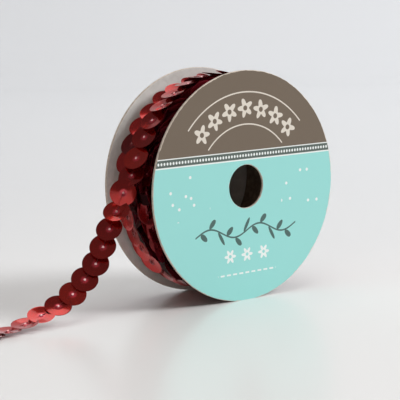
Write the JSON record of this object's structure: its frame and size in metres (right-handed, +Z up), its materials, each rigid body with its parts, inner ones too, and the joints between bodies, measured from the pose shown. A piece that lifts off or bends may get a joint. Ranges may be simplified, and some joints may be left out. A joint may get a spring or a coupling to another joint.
{
  "type": "sequin trim wound on a card reel",
  "caption": "Cupped red sequin trim wound on a round card reel that stands on its rims, its loose end running down and lying on the surface.",
  "frame": {"origin": "on the surface under the middle of the reel, half way between its two flanges", "axes": "+Z up, +Y along the reel's axis towards its plain back flange, and the loose end runs off towards -X"},
  "size_m": [0.1057, 0.0186, 0.0548],
  "materials": {
    "printed_card": "satin printed paper in taupe over pale turquoise",
    "plain_card": "matte pale grey card",
    "tube_card": "matte brown card",
    "sequins": "metallised dark red film",
    "thread": "twisted sewing thread"
  },
  "bodies": {
    "root": {"flange_front": "printed_card", "flange_back": "plain_card", "core": "tube_card", "winding": "sequins", "loose_end": "sequins"}
  },
  "joints": []
}
